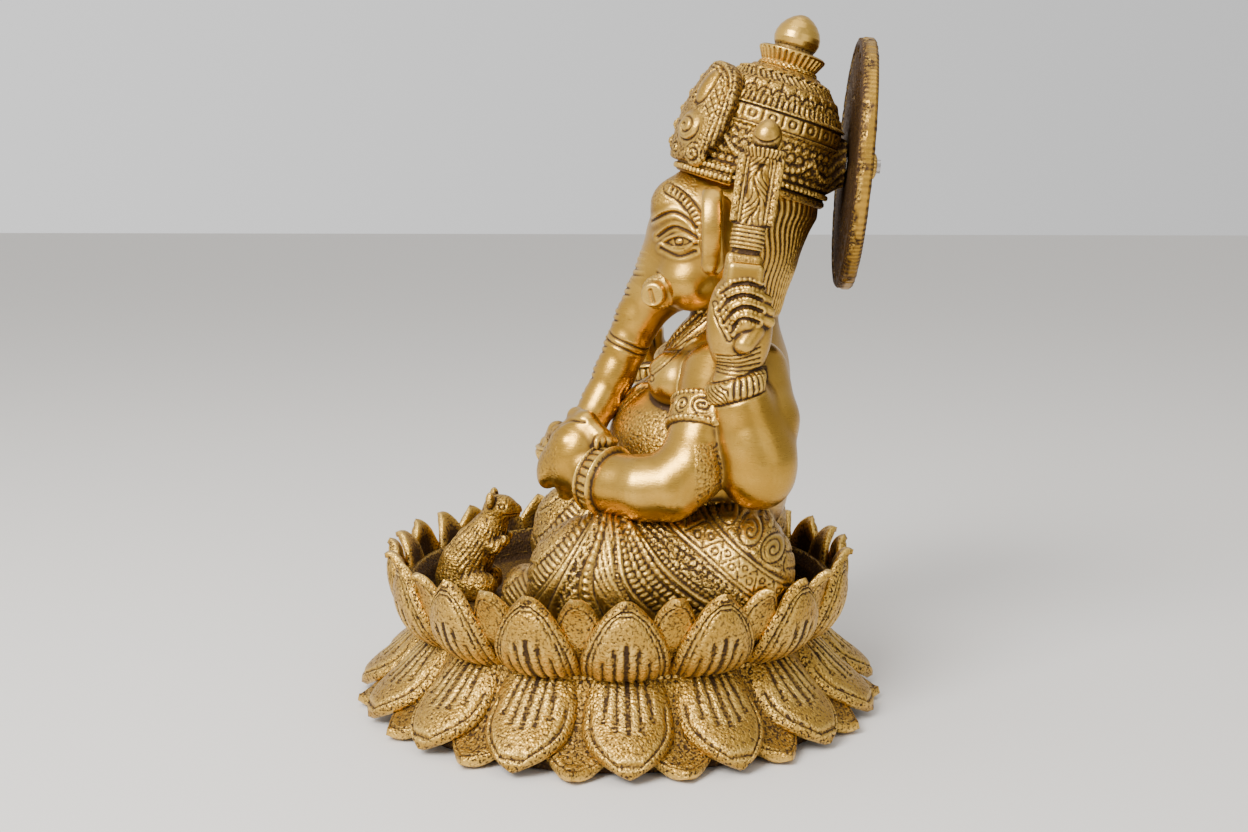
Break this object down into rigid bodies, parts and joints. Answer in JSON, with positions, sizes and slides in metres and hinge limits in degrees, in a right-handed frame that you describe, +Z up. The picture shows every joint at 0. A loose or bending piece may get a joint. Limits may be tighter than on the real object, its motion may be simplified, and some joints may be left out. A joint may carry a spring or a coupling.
{
  "type": "hindu deity statue",
  "caption": "Cast brass figure of a seated elephant-headed deity on a double lotus base, with a crown and a halo disc that turns on a stud behind it.",
  "frame": {"origin": "centre of the lotus base at the underside, on the surface it stands on", "axes": "+Z up; the figure faces -Y; +X is the figure's left hand side"},
  "size_m": [0.1994, 0.1994, 0.2512],
  "materials": {
    "antique_brass": "cast brass with dark brown patina in the recesses, satin on the high places",
    "rubbed_brass": "brass rubbed bright",
    "steel": "plain machine finish"
  },
  "bodies": {
    "statue": {"lotus_lower_tier": "antique_brass", "lotus_upper_tier": "antique_brass", "seat_bolt": "steel", "seat_washer": "steel", "lap": "antique_brass", "torso": "antique_brass", "front_left_arm": "antique_brass", "front_right_arm": "antique_brass", "rear_left_arm": "antique_brass", "rear_right_arm": "antique_brass", "head": "antique_brass", "trunk": "antique_brass", "ear_left": "antique_brass", "ear_right": "antique_brass", "tusk_left": "rubbed_brass", "tusk_right": "rubbed_brass", "crown": "antique_brass", "crown_crest": "antique_brass", "crown_bud": "rubbed_brass", "halo_stud": "steel", "goad": "antique_brass", "noose": "antique_brass", "sweet_bowl": "rubbed_brass", "mouse": "antique_brass"},
    "halo": {"halo_disc": "antique_brass"},
    "thumb_nut": {"halo_nut": "rubbed_brass"}
  },
  "joints": [
    {"name": "halo_turn", "type": "hinge", "parent": "statue", "child": "halo", "pos_m": [0, 0.0824, 0.1985], "axis": [0, 0.9973, -0.0732], "continuous": true},
    {"name": "nut_turn", "type": "hinge", "parent": "statue", "child": "thumb_nut", "pos_m": [0, 0.0824, 0.1985], "axis": [0, 0.9973, -0.0732], "continuous": true}
  ]
}
